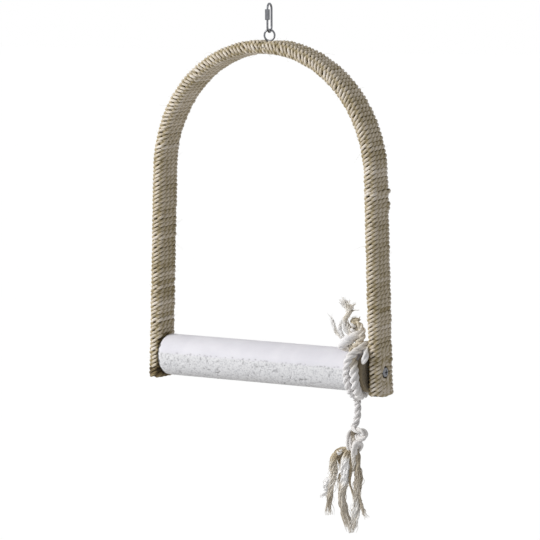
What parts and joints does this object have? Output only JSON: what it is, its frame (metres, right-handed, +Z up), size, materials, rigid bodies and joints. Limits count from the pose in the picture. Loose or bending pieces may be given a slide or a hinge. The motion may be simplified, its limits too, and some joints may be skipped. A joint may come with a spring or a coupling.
{
  "type": "bird swing",
  "caption": "Hanging swing for a pet bird: an arched bar wound with rope, a straight rough perch between its feet and a rope tassel, hung by an eye and a quick link.",
  "frame": {"origin": "inside of the quick link's top bend, where the swing hangs", "axes": "+Z up, +X along the perch towards the end with the cotton rope, front towards -Y"},
  "size_m": [0.2613, 0.0571, 0.4966],
  "materials": {
    "steel_bar": "mill finish",
    "zinc_steel": "zinc plated",
    "sisal_rope": "natural fibre rope",
    "cement": "smooth above, rough and pitted below",
    "cotton_rope": "natural cotton"
  },
  "bodies": {
    "link": {"quick_link": "zinc_steel"},
    "sleeve": {"quick_link_nut": "zinc_steel"},
    "swing": {"arch_bar": "steel_bar", "sisal_wrap": "sisal_rope", "perch": "cement", "perch_insert_left": "zinc_steel", "perch_insert_right": "zinc_steel", "perch_screw_left": "zinc_steel", "perch_screw_right": "zinc_steel", "eye_bolt": "zinc_steel", "eye_washer": "zinc_steel", "eye_nut": "zinc_steel", "rope_turns": "cotton_rope", "rope_top_knot": "cotton_rope", "rope_top_fray": "cotton_rope"},
    "tassel": {"rope_tail": "cotton_rope", "rope_tail_knot": "cotton_rope", "rope_tassel": "cotton_rope"}
  },
  "joints": [
    {"name": "sleeve_slide", "type": "slide", "parent": "link", "child": "sleeve", "axis": [0, 0, -1], "range_m": [0, 0.0058]},
    {"name": "swing", "type": "hinge", "parent": "link", "child": "swing", "pos_m": [0, 0, -0.0233], "axis": [0.9848, 0.1736, 0], "range_deg": [-60, 60]},
    {"name": "tail_swing", "type": "hinge", "parent": "swing", "child": "tassel", "pos_m": [0.0975, -0.001, -0.3785], "axis": [1, 0, 0], "range_deg": [-70, 70]}
  ]
}
